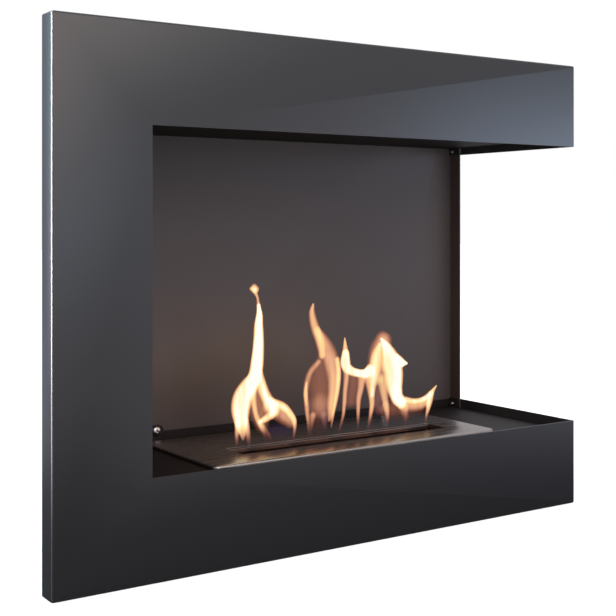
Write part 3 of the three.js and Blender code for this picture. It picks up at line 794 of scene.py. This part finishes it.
@dataclass
class Casing:
    """Box behind the frame: firebox sheets, covers, cheeks and their hardware."""

    outer: CoatedSteel = CoatedSteel("satin_anthracite_casing", roughness=0.42)
    inner: CoatedSteel = CoatedSteel(
        "matt_firebox_black",
        base=(0.033, 0.024, 0.022, 1.0),
        worn=(0.08, 0.065, 0.06, 1.0),
        film=(0.05, 0.038, 0.034, 1.0),
        roughness=0.5,
        dust=0.25,
        fold_wear=0.3,
    )
    # Black paint made darker than the walls' paint: partly the parts' own black, partly painted shade on the
    # floor tray and ceiling.
    shade_darkened: CoatedSteel = CoatedSteel(
        "shade_darkened_black",
        base=(0.0055, 0.0032, 0.0032, 1.0),
        worn=(0.03, 0.022, 0.02, 1.0),
        film=(0.012, 0.008, 0.008, 1.0),
        roughness=0.6,
        dust=0.15,
        fold_wear=0.2,
        specular=0.22,
    )
    zinc: ZincPlate = ZincPlate("bright_zinc")
    fold: float = 0.35 * MM
    fine: float = 0.2 * MM
    inner_nodes: tuple[str, ...] = ("back_panel", "left_wall")
    shade_darkened_nodes: tuple[str, ...] = ("floor_tray", "ceiling_panel")
    outer_nodes: tuple[str, ...] = ("base_cover", "top_cover", "lower_cheek", "upper_cheek")
    screws: tuple[str, ...] = (
        "corner_screw_lower",
        "corner_screw_upper",
        "tray_screw_left",
        "tray_screw_right",
    )
    places: tuple[str, ...] = ("top", "bottom", "side")

    def build(self) -> None:
        """Dress the panels, the screws, the brackets and the nuts."""
        finishes = (self.inner, self.shade_darkened, self.outer, self.zinc)
        inner, shade_darkened, outer, zinc = (finish.pair() for finish in finishes)
        for node in self.inner_nodes:
            softened(node, Body.CASING, inner, self.fold)
        # The floor tray and ceiling take the darkened black, which is painted shade.
        for node in self.shade_darkened_nodes:
            softened(node, Body.CASING, shade_darkened, self.fold)
        for node in self.outer_nodes:
            softened(node, Body.CASING, outer, self.fold)
        hardware = [
            f"frame_{kind}_{place}_{number}"
            for kind in ("bracket", "nut")
            for place in self.places
            for number in (1, 2)
        ]
        for node in (*self.screws, *hardware):
            softened(node, Body.CASING, zinc, self.fine, segments=2)


@dataclass
class Burner:
    """Plate, tank, guides, screen, fibre and the sliding shutter."""

    steel: BrushedSteel = BrushedSteel("brushed_stainless")
    fibre: CeramicFibre = CeramicFibre("ceramic_fibre_wool")
    fold: float = 0.3 * MM
    fibre_ease: float = 1.5 * MM
    fixed: tuple[str, ...] = (
        "burner_plate",
        "burner_tank",
        "shutter_guide_left",
        "shutter_guide_right",
        "fibre_screen",
    )

    def build(self) -> None:
        """Dress the burner and its shutter."""
        steel = self.steel.pair()
        for node in self.fixed:
            softened(node, Body.BURNER, steel, self.fold, segments=2)
        softened("sliding_shutter", Body.SHUTTER, steel, self.fold, segments=2)
        softened("fibre_block", Body.BURNER, self.fibre.pair(), self.fibre_ease)


@dataclass(frozen=True)
class Strand:
    """One strand of flame: its power, how blue it is, and its stations.

    A station is (along the slot, up, half-width), in millimetres.
    """

    power: float
    tint: float
    stations: tuple[Point, ...]


LEFT_FLAME = (
    Strand(1.5, 0, ((45, 188, 3.0), (46, 176, 5.5), (45, 162, 7.5), (45, 147, 8.5), (44.5, 131, 9.5),
           (43, 116, 10.5), (41, 103, 11), (38, 92, 11))),
    Strand(0.58, 0, ((38, 208, 5), (40.5, 204, 3.4), (43, 199, 2.6), (44, 194, 2.8), (45, 187, 4))),
    Strand(0.66, 0, ((33.5, 210.5, 3.5), (37.5, 211, 7.0), (41, 209.5, 5.5))),
    Strand(1.5, 0, ((38, 92, 11), (28, 80, 14), (20, 68, 15.5), (17, 55, 15), (17.5, 42, 12.5),
           (18.5, 32, 9.5), (20, 23, 6), (21, 14, 2.6))),
    Strand(0.32, 0, ((42, 81, 14), (43, 62, 17), (47, 44, 16), (50, 30, 12))),
    Strand(0.52, 0, ((38, 85, 6), (37, 66, 4.5), (40, 47, 4), (46, 32, 4), (53, 18, 3), (58, 2, 1.6))),
    Strand(0.9, 0, ((45, 96, 8), (50, 81, 8.5), (56, 68, 8.5), (63, 56, 9.5), (69, 47, 9))),
    Strand(0.45, 0, ((63, 53, 12), (78, 45, 14.5), (89, 36, 12.5), (96, 28, 8.5))),
    Strand(0.8, 0, ((62, 60, 6), (75, 55, 6), (87, 48.5, 5.8), (95, 40, 5.2), (101, 31, 4.6),
           (102, 20, 3.4), (100, 7, 2.4), (99, 1, 1.6))),
    Strand(0.82, 0, ((46.5, 34, 3.2), (55, 37, 5.2), (64, 41, 6.5))),
    Strand(0.52, 0, ((48, 32, 3.4), (55, 22, 4.2), (62, 12, 3.2), (66, 1, 2))),
    Strand(0.75, 0, ((14, 38, 6), (11.5, 20, 4.2), (11.5, 1, 2.4))),
    Strand(0.75, 0, ((24, 36, 7), (28, 19, 5.2), (31, 1, 3.2))),
    Strand(0.3, 1, ((68, 19, 11.5), (85, 14, 14), (96, 12, 7))),
)

MIDDLE_FLAME = (
    Strand(0.64, 0, ((132, 186, 2.4), (130, 176, 5.6), (132, 164, 7.2), (136, 152, 8), (141, 140, 8),
           (145, 127, 7.5), (147, 116, 6))),
    Strand(0.5, 0, ((139, 150, 6), (150, 135, 10), (158, 120, 13), (164, 104, 13.5), (167, 85, 11.5),
           (166, 67, 9.5), (163, 51, 8), (161, 37, 6), (159, 26, 3.5))),
    Strand(0.26, 0, ((149, 107, 15), (146, 93, 24), (145, 77, 29.5), (145, 61, 28), (144, 54, 24))),
    Strand(0.2, 0.3, ((143, 40, 24), (142, 30, 21), (141, 20, 16), (141, 6, 10))),
    Strand(0.34, 0, ((141, 107, 4.4), (128, 95, 5), (122.5, 83, 5.4), (119.5, 68, 5), (120, 58, 3.4),
           (121, 50, 1.6))),
    Strand(0.5, 0, ((121, 80, 1.6), (119.7, 68, 3.4), (120.4, 56, 4.8), (122, 40, 4.2), (123.5, 26, 3.2),
           (124.5, 8, 2.2))),
    Strand(0.62, 0, ((172.5, 108, 4.4), (175, 91, 4.8), (173.5, 71, 4.8), (170, 53, 4.4),
           (165.5, 35, 3.4), (162, 16, 2.4))),
    Strand(0.4, 0, ((131, 34, 6), (129, 22, 4), (127, 2, 2.2))),
    Strand(0.34, 0.8, ((150, 32, 7), (152, 18, 4.6), (156, 2, 2.6))),
    Strand(0.3, 0.6, ((181, 22, 2), (176, 13, 3.4), (171, 2, 2.2))),
)

RIGHT_FLAME = (
    Strand(0.74, 0, ((185, 137, 1.5), (185.5, 128, 4), (186, 119, 6), (186.5, 111, 7.4))),
    Strand(1.5, 0, ((186.5, 115, 7), (186, 104, 9.4), (189, 96, 8.4), (198, 90, 6.4), (208, 87, 6),
           (219, 85.5, 7), (228, 88, 10))),
    Strand(0.54, 0, ((188, 92, 7), (187, 78, 5.4), (185, 62, 4.6), (184, 46, 4.2), (182, 29, 3.4),
           (177, 13, 2.6), (174, 1, 1.6))),
    Strand(0.54, 0, ((215, 83, 8), (213, 66, 6.4), (209, 49, 5), (208, 33, 4), (208, 16, 2.8),
           (208, 1, 1.6))),
    Strand(0.25, 0, ((200, 83, 13), (198, 65, 13.5), (196, 49, 11.5))),
    Strand(0.58, 0, ((226, 80, 9), (230, 60, 7), (232, 43, 5.4), (230, 27, 4.2), (226, 10, 3),
           (224, 1, 1.8))),
    Strand(0.52, 0, ((252, 128, 17), (246, 115, 20), (243, 99, 20), (240, 84, 17))),
    Strand(1.5, 0, ((249, 132, 2), (255, 124, 6.5), (262, 111, 13), (267, 97, 18), (271, 84, 18),
           (272.5, 71, 16.5), (274, 59, 14), (278, 47, 11.5), (286, 38, 8.5))),
    Strand(0.68, 0, ((246, 124, 4), (241, 110, 9.5), (238, 95, 11), (236, 82, 8.5), (234.5, 68, 6),
           (233, 54, 4))),
    Strand(1.5, 0, ((276, 100, 10), (286, 96, 7.5), (295, 94.5, 2.6))),
    Strand(0.28, 0.5, ((243, 69, 16), (244, 51, 16), (245, 34, 12))),
    Strand(0.54, 0, ((253, 72, 11), (255, 52, 7.4), (258, 35, 5.6), (260, 20, 4.2), (259, 1, 2.4))),
    Strand(0.5, 0, ((285, 40, 11), (299, 35, 10.5), (315, 33.5, 10), (329, 35.5, 8.5))),
    Strand(0.84, 0, ((293, 42, 5), (307, 39, 4.2), (320, 39, 4.4), (331, 42, 5), (341, 48, 5),
           (347, 54, 3.2), (351, 58, 1.2))),
    Strand(0.9, 0, ((341, 46, 6), (337, 34, 6.4), (335, 25, 4.6), (332, 16, 3.4), (330, 1, 2))),
    Strand(0.44, 0, ((289, 33, 9), (293, 19, 6.6), (294, 1, 3.6))),
    Strand(0.24, 0, ((261, 30, 15), (277, 27, 17), (301, 27, 14), (320, 27, 11))),
)


@dataclass
class Fire:
    """Flames above the slot: each a smooth shell grown from strands that rise, arch and join.

    Its lengths are in millimetres.
    """

    eye: Vector
    finish: Flame = Flame("luminous_flame")
    voxel: float = 1.2
    flatness: float = 0.42
    thinnest: float = 1.5
    narrowest: float = 0.8
    sides: int = 12
    ring_spacing: float = 1.6
    cap_rings: tuple[tuple[float, float], ...] = ((0.5, 0.86), (0.86, 0.5))
    smoothing: int = 5
    smoothing_factor: float = 0.5
    reach: float = 1.08
    least_weight: float = 0.001
    root: float = 2.0
    root_power: float = 0.14
    root_blue: float = 0.6
    clear_base: float = 35.0
    start: float = -170.0
    setback: float = 71.0
    lift: float = 1.2
    broad_sway: float = 4.0
    broad_period: float = 29.0
    fine_sway: float = 0.03
    fine_period: float = 17.0
    grounded_below: float = 30.0

    def build(self) -> None:
        """Grow each flame and dress it."""
        material = self.finish.build()
        low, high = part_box("burner_plate")
        middle = (low.x + high.x) / 2
        origin = Vector((middle + self.start * MM, low.y + self.setback * MM, high.z))
        flames = (("flame_left", LEFT_FLAME), ("flame_middle", MIDDLE_FLAME), ("flame_right", RIGHT_FLAME))
        for name, strands in flames:
            piece = self.grow(name, strands, origin)
            piece.data.materials.append(material)
            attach(piece, Body.BURNER.value)
            logging.info("%s on %s, %d faces", name, Body.BURNER.value, len(piece.data.polygons))

    def samples(self, strand: Strand) -> list[Vector]:
        """Sample a strand along a Catmull-Rom curve through its stations.

        Args:
            strand: strand to sample.

        Returns:
            Points along it, as (along the slot, up, half-width) in millimetres.
        """
        points = [Vector(station) for station in strand.stations]
        padded = [points[0] * 2 - points[1], *points, points[-1] * 2 - points[-2]]
        found: list[Vector] = []
        for before, start, end, after in zip(padded, padded[1:], padded[2:], padded[3:]):
            steps = max(2, round((end - start).length / self.ring_spacing))
            for step in range(steps):
                t = step / steps
                curve = 2 * start + (end - before) * t + (2 * before - 5 * start + 4 * end - after) * t * t
                found.append(0.5 * (curve + (3 * start - before - 3 * end + after) * t**3))
        found.append(points[-1])
        return found

    def loft(self, work: bmesh.types.BMesh, path: list[Vector]) -> None:
        """Skin one strand with elliptical rings and round ends.

        Args:
            work: mesh that the strand is added to.
            path: samples of the strand.
        """
        loops = []
        path = [*self.cap(path[0], path[0] - path[1])[::-1], *path, *self.cap(path[-1], path[-1] - path[-2])]
        for i, point in enumerate(path):
            step = path[min(i + 1, len(path) - 1)] - path[max(i - 1, 0)]
            ahead = Vector((step.x, 0.0, step.y)).normalized()
            across = Vector((ahead.z, 0.0, -ahead.x))
            width = max(point.z, self.narrowest)
            depth = max(width * self.flatness, self.thinnest)
            centre = Vector((point.x, 0.0, max(point.y, self.lift)))
            loop = []
            for side in range(self.sides):
                angle = 2 * math.pi * side / self.sides
                thick = Vector((0.0, depth * math.sin(angle), 0.0))
                loop.append(work.verts.new(centre + across * (width * math.cos(angle)) + thick))
            loops.append(loop)
        for lower, upper in zip(loops, loops[1:]):
            for side in range(self.sides):
                other = (side + 1) % self.sides
                work.faces.new((lower[side], lower[other], upper[other], upper[side]))
        work.faces.new(list(reversed(loops[0])))
        work.faces.new(loops[-1])

    def cap(self, end: Vector, step: Vector) -> list[Vector]:
        """Round off the end of a strand.

        Args:
            end: last sample.
            step: way from the sample before it.

        Returns:
            Two further samples, each narrower.
        """
        way = Vector((step.x, step.y, 0.0)).normalized() * end.z
        return [Vector((*(end + way * reach).xy, end.z * share)) for reach, share in self.cap_rings]

    def grow(self, name: str, strands: tuple[Strand, ...], origin: Vector) -> bpy.types.Object:
        """Join the strands into one smooth shell, write its power on it and set it over the slot.

        Args:
            name: name of the flame.
            strands: its strands.
            origin: left end of the slot's middle line, at the plate.

        Returns:
            The flame's object.
        """
        paths = [self.samples(strand) for strand in strands]
        work = bmesh.new()
        for path in paths:
            self.loft(work, path)
        bmesh.ops.recalc_face_normals(work, faces=work.faces)
        mesh = bpy.data.meshes.new(name)
        work.to_mesh(mesh)
        work.free()
        rough = bpy.data.objects.new(name, mesh)
        bpy.context.scene.collection.objects.link(rough)
        join = rough.modifiers.new("join", "REMESH")
        join.mode = "VOXEL"
        join.voxel_size = self.voxel
        soften = rough.modifiers.new("soften", "SMOOTH")
        soften.iterations = self.smoothing
        soften.factor = self.smoothing_factor
        graph = bpy.context.evaluated_depsgraph_get()
        shell = bpy.data.meshes.new_from_object(rough.evaluated_get(graph))
        bpy.data.objects.remove(rough)
        piece = bpy.data.objects.new(name, shell)
        bpy.context.scene.collection.objects.link(piece)
        shell.shade_smooth()
        self.paint(shell, strands, paths)
        self.set_over_slot(shell, origin)
        return piece

    def paint(self, shell: bpy.types.Mesh, strands: tuple[Strand, ...], paths: list[list[Vector]]) -> None:
        """Write the attributes power and tint on a flame's points.

        Args:
            shell: mesh of the flame, still flat in its own millimetres.
            strands: strands of the flame.
            paths: samples of each strand.
        """
        trees = []
        for path in paths:
            tree = kdtree.KDTree(len(path))
            for index, point in enumerate(path):
                tree.insert((point.x, point.y, 0.0), index)
            tree.balance()
            trees.append(tree)
        power = shell.attributes.new("power", "FLOAT", "POINT")
        tint = shell.attributes.new("tint", "FLOAT", "POINT")
        for index, vertex in enumerate(shell.vertices):
            spot = Vector((vertex.co.x, vertex.co.z, 0.0))
            dark = 1.0
            blue = weight = self.least_weight
            for strand, path, tree in zip(strands, paths, trees):
                _, near, distance = tree.find(spot)
                share = distance / max(path[near].z * self.reach, self.narrowest)
                value = strand.power * max(0.0, 1.0 - share * share)
                dark *= 1.0 - min(1.0, value)
                blue += strand.tint * value
                weight += value
            rise = min(1.0, max(0.0, (spot.y - self.root) / self.clear_base))
            fade = self.root_power + (1.0 - self.root_power) * rise * rise * (3 - 2 * rise)
            power.data[index].value = (1.0 - dark) * fade
            tint.data[index].value = min(1.0, max(blue / weight, self.root_blue * (1.0 - rise) ** 2))

    def set_over_slot(self, shell: bpy.types.Mesh, origin: Vector) -> None:
        """Move a flame from its own millimetres to its place, thick along the line of sight.

        Args:
            shell: mesh of the flame.
            origin: left end of the slot's middle line, at the plate.
        """
        for vertex in shell.vertices:
            along, thick, up = vertex.co
            spot = origin + Vector((along, 0.0, up)) * MM
            broad = self.broad_sway * math.sin(along / self.broad_period)
            sway = broad + self.fine_sway * up * math.sin(along / self.fine_period + 1.0)
            sight = (spot - self.eye).normalized()
            grounded = min(1.0, up / self.grounded_below)
            vertex.co = spot + sight * ((thick + sway * grounded) * MM)


@dataclass(frozen=True)
class Softbox:
    """One rectangular soft light: its place, the point it faces, width and height, power and colour."""

    name: str
    place: Point
    aim: Point
    size: tuple[float, float]
    watts: float
    colour: Point


SOFTBOXES = (
    Softbox("front_softbox", (0.5, -3.6, 2.1), (0.0, 0.0, 0.4), (1.2, 1.9), 18.0, (1.0, 0.98, 0.92)),
    Softbox("front_low_softbox", (0.3, -3.6, 0.5), (0.0, 0.0, 0.3), (1.6, 0.8), 9.0, (0.66, 0.82, 1.0)),
    Softbox("left_softbox", (-0.6, -3.4, 1.9), (0.0, 0.0, 0.4), (1.2, 2.2), 38.0, (1.0, 0.68, 0.66)),
    Softbox("side_softbox", (2.9, -1.7, 0.5), (0.1, 0.1, 0.45), (1.4, 0.6), 15.5, (0.6, 0.75, 1.0)),
    Softbox("side_low_softbox", (2.8, -3.5, 0.42), (0.2, 0.1, 0.35), (1.4, 0.7), 6.0, (1.0, 0.85, 0.9)),
    Softbox("rear_softbox", (-3.2, 2.0, 1.4), (0.0, 0.0, 0.4), (1.2, 1.8), 90.0, (0.5, 0.82, 1.0)),
    Softbox("rear_low_softbox", (-3.2, 2.0, 0.3), (0.0, 0.0, 0.3), (1.2, 0.5), 28.0, (0.85, 0.7, 1.0)),
    Softbox("edge_strip", (-2.6, -1.0, 0.8), (-0.4, -0.1, 0.35), (0.4, 1.6), 45.0, (1.0, 0.92, 0.8)),
)


@dataclass
class Studio:
    """Floor, lights and the camera at the photograph's viewing angle."""

    image_side: float = 616.0
    focal_pixels: float = 1151.0
    horizon_pixel: float = 222.2
    sensor: float = 36.0
    heading: float = 0.592
    eye_from_corner: Point = (-0.4595, -1.1762, 0.4092)
    floor_side: float = 30.0
    floor_gap: float = 0.2 * MM
    world_strength: float = 1.0
    sky_heights: tuple[float, float, float, float] = (-0.05, 0.75, 0.0, 1.0)
    low_sky: Colour = (0.42, 0.42, 0.44, 1.0)
    high_sky: Colour = (1.15, 1.15, 1.2, 1.0)
    backdrop: Colour = (1.0, 1.0, 1.0, 1.0)
    glow_size: float = 0.03
    fire_shares: tuple[float, ...] = (0.22, 0.48, 0.72)
    fire_rise: float = 0.09
    fire_advance: float = 0.02
    fire_watts: float = 0.12
    fire_colour: Point = (1.0, 0.55, 0.25)
    slot_shares: tuple[float, ...] = (0.2, 0.35, 0.5, 0.65, 0.8)
    slot_setback: float = 0.06
    slot_depth: float = 0.02
    slot_watts: float = 0.006
    slot_colour: Point = (1.0, 0.4, 0.25)

    @property
    def eye(self) -> Vector:
        """Place of the camera."""
        return Vector(CAD_BOX[0]) + Vector(self.eye_from_corner)

    def build(self) -> None:
        """Build the whole studio."""
        self.camera()
        self.floor()
        self.world()
        self.lights()

    def camera(self) -> None:
        """Place the camera level, with the horizon where the photograph has it."""
        data = bpy.data.cameras.new("camera")
        data.sensor_width = self.sensor
        data.lens = self.focal_pixels / self.image_side * self.sensor
        data.shift_y = (self.horizon_pixel - self.image_side / 2) / self.image_side
        camera = bpy.data.objects.new("camera", data)
        camera.location = self.eye
        camera.rotation_euler = (math.pi / 2, 0.0, -self.heading)
        bpy.context.scene.collection.objects.link(camera)
        bpy.context.scene.camera = camera

    def floor(self) -> None:
        """Lay the floor just under the fireplace."""
        mesh = bpy.data.meshes.new("studio_floor")
        half = self.floor_side / 2
        level = CAD_BOX[0][2] - self.floor_gap
        corners = [(-half, -half, level), (half, -half, level), (half, half, level), (-half, half, level)]
        mesh.from_pydata(corners, [], [(0, 1, 2, 3)])
        mesh.materials.append(PaleFloor("pale_floor").build())
        floor = bpy.data.objects.new("studio_floor", mesh)
        bpy.context.scene.collection.objects.link(floor)

    def world(self) -> None:
        """Light the surroundings: white behind the fireplace, and darker low down in its reflections."""
        world = bpy.data.worlds.new("studio_world")
        world.use_nodes = True
        wires = Wiring(world.node_tree)
        sky = world.node_tree.nodes["Background"]
        place = wires.node("TexCoord")
        parts = wires.node("SeparateXYZ")
        wires.link(place.outputs["Generated"], parts.inputs["Vector"])
        height = wires.spread(parts.outputs["Z"], *self.sky_heights)
        shade = wires.mix(height, self.low_sky, self.high_sky)
        ray = wires.node("LightPath")
        wires.link(wires.mix(ray.outputs["Is Camera Ray"], shade, self.backdrop), sky.inputs["Color"])
        sky.inputs["Strength"].default_value = self.world_strength
        bpy.context.scene.world = world
        bpy.context.scene.view_settings.view_transform = "Standard"

    def hang(self, box: Softbox) -> None:
        """Hang one soft light.

        Args:
            box: the light's description.
        """
        data = bpy.data.lights.new(box.name, "AREA")
        data.shape = "RECTANGLE"
        data.size, data.size_y = box.size
        data.energy = box.watts
        data.color = box.colour
        light = bpy.data.objects.new(box.name, data)
        light.location = box.place
        light.rotation_euler = (Vector(box.aim) - Vector(box.place)).to_track_quat("-Z", "Y").to_euler()
        bpy.context.scene.collection.objects.link(light)

    def fire_glow(self, name: str, place: Vector, watts: float, colour: Point) -> None:
        """Set one small warm light that stands for light of the fire.

        Args:
            name: name of the light.
            place: where it is.
            watts: power.
            colour: its colour.
        """
        data = bpy.data.lights.new(name, "POINT")
        data.energy = watts
        data.color = colour
        data.shadow_soft_size = self.glow_size
        glow = bpy.data.objects.new(name, data)
        glow.location = place
        bpy.context.scene.collection.objects.link(glow)

    def lights(self) -> None:
        """Hang the soft lights and the small warm ones that stand for the fire's own light."""
        for box in SOFTBOXES:
            self.hang(box)
        low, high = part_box("burner_plate")
        width = high.x - low.x
        middle = (low.y + high.y) / 2
        for index, share in enumerate(self.fire_shares):
            over = Vector((low.x + share * width, middle - self.fire_advance, high.z + self.fire_rise))
            self.fire_glow(f"firelight_{index}", over, self.fire_watts, self.fire_colour)
        for index, share in enumerate(self.slot_shares):
            inside = Vector((low.x + share * width, low.y + self.slot_setback, high.z - self.slot_depth))
            self.fire_glow(f"slot_light_{index}", inside, self.slot_watts, self.slot_colour)


def main() -> None:
    """Build the studio and dress the fireplace, sub-assembly by sub-assembly."""
    logging.basicConfig(level=logging.INFO, format="%(message)s")
    studio = Studio()
    studio.build()
    for assembly in (FrontFrame(), Casing(), Burner(), Fire(studio.eye)):
        assembly.build()
        logging.info("%s done", type(assembly).__name__)


if __name__ == "__main__":
    main()
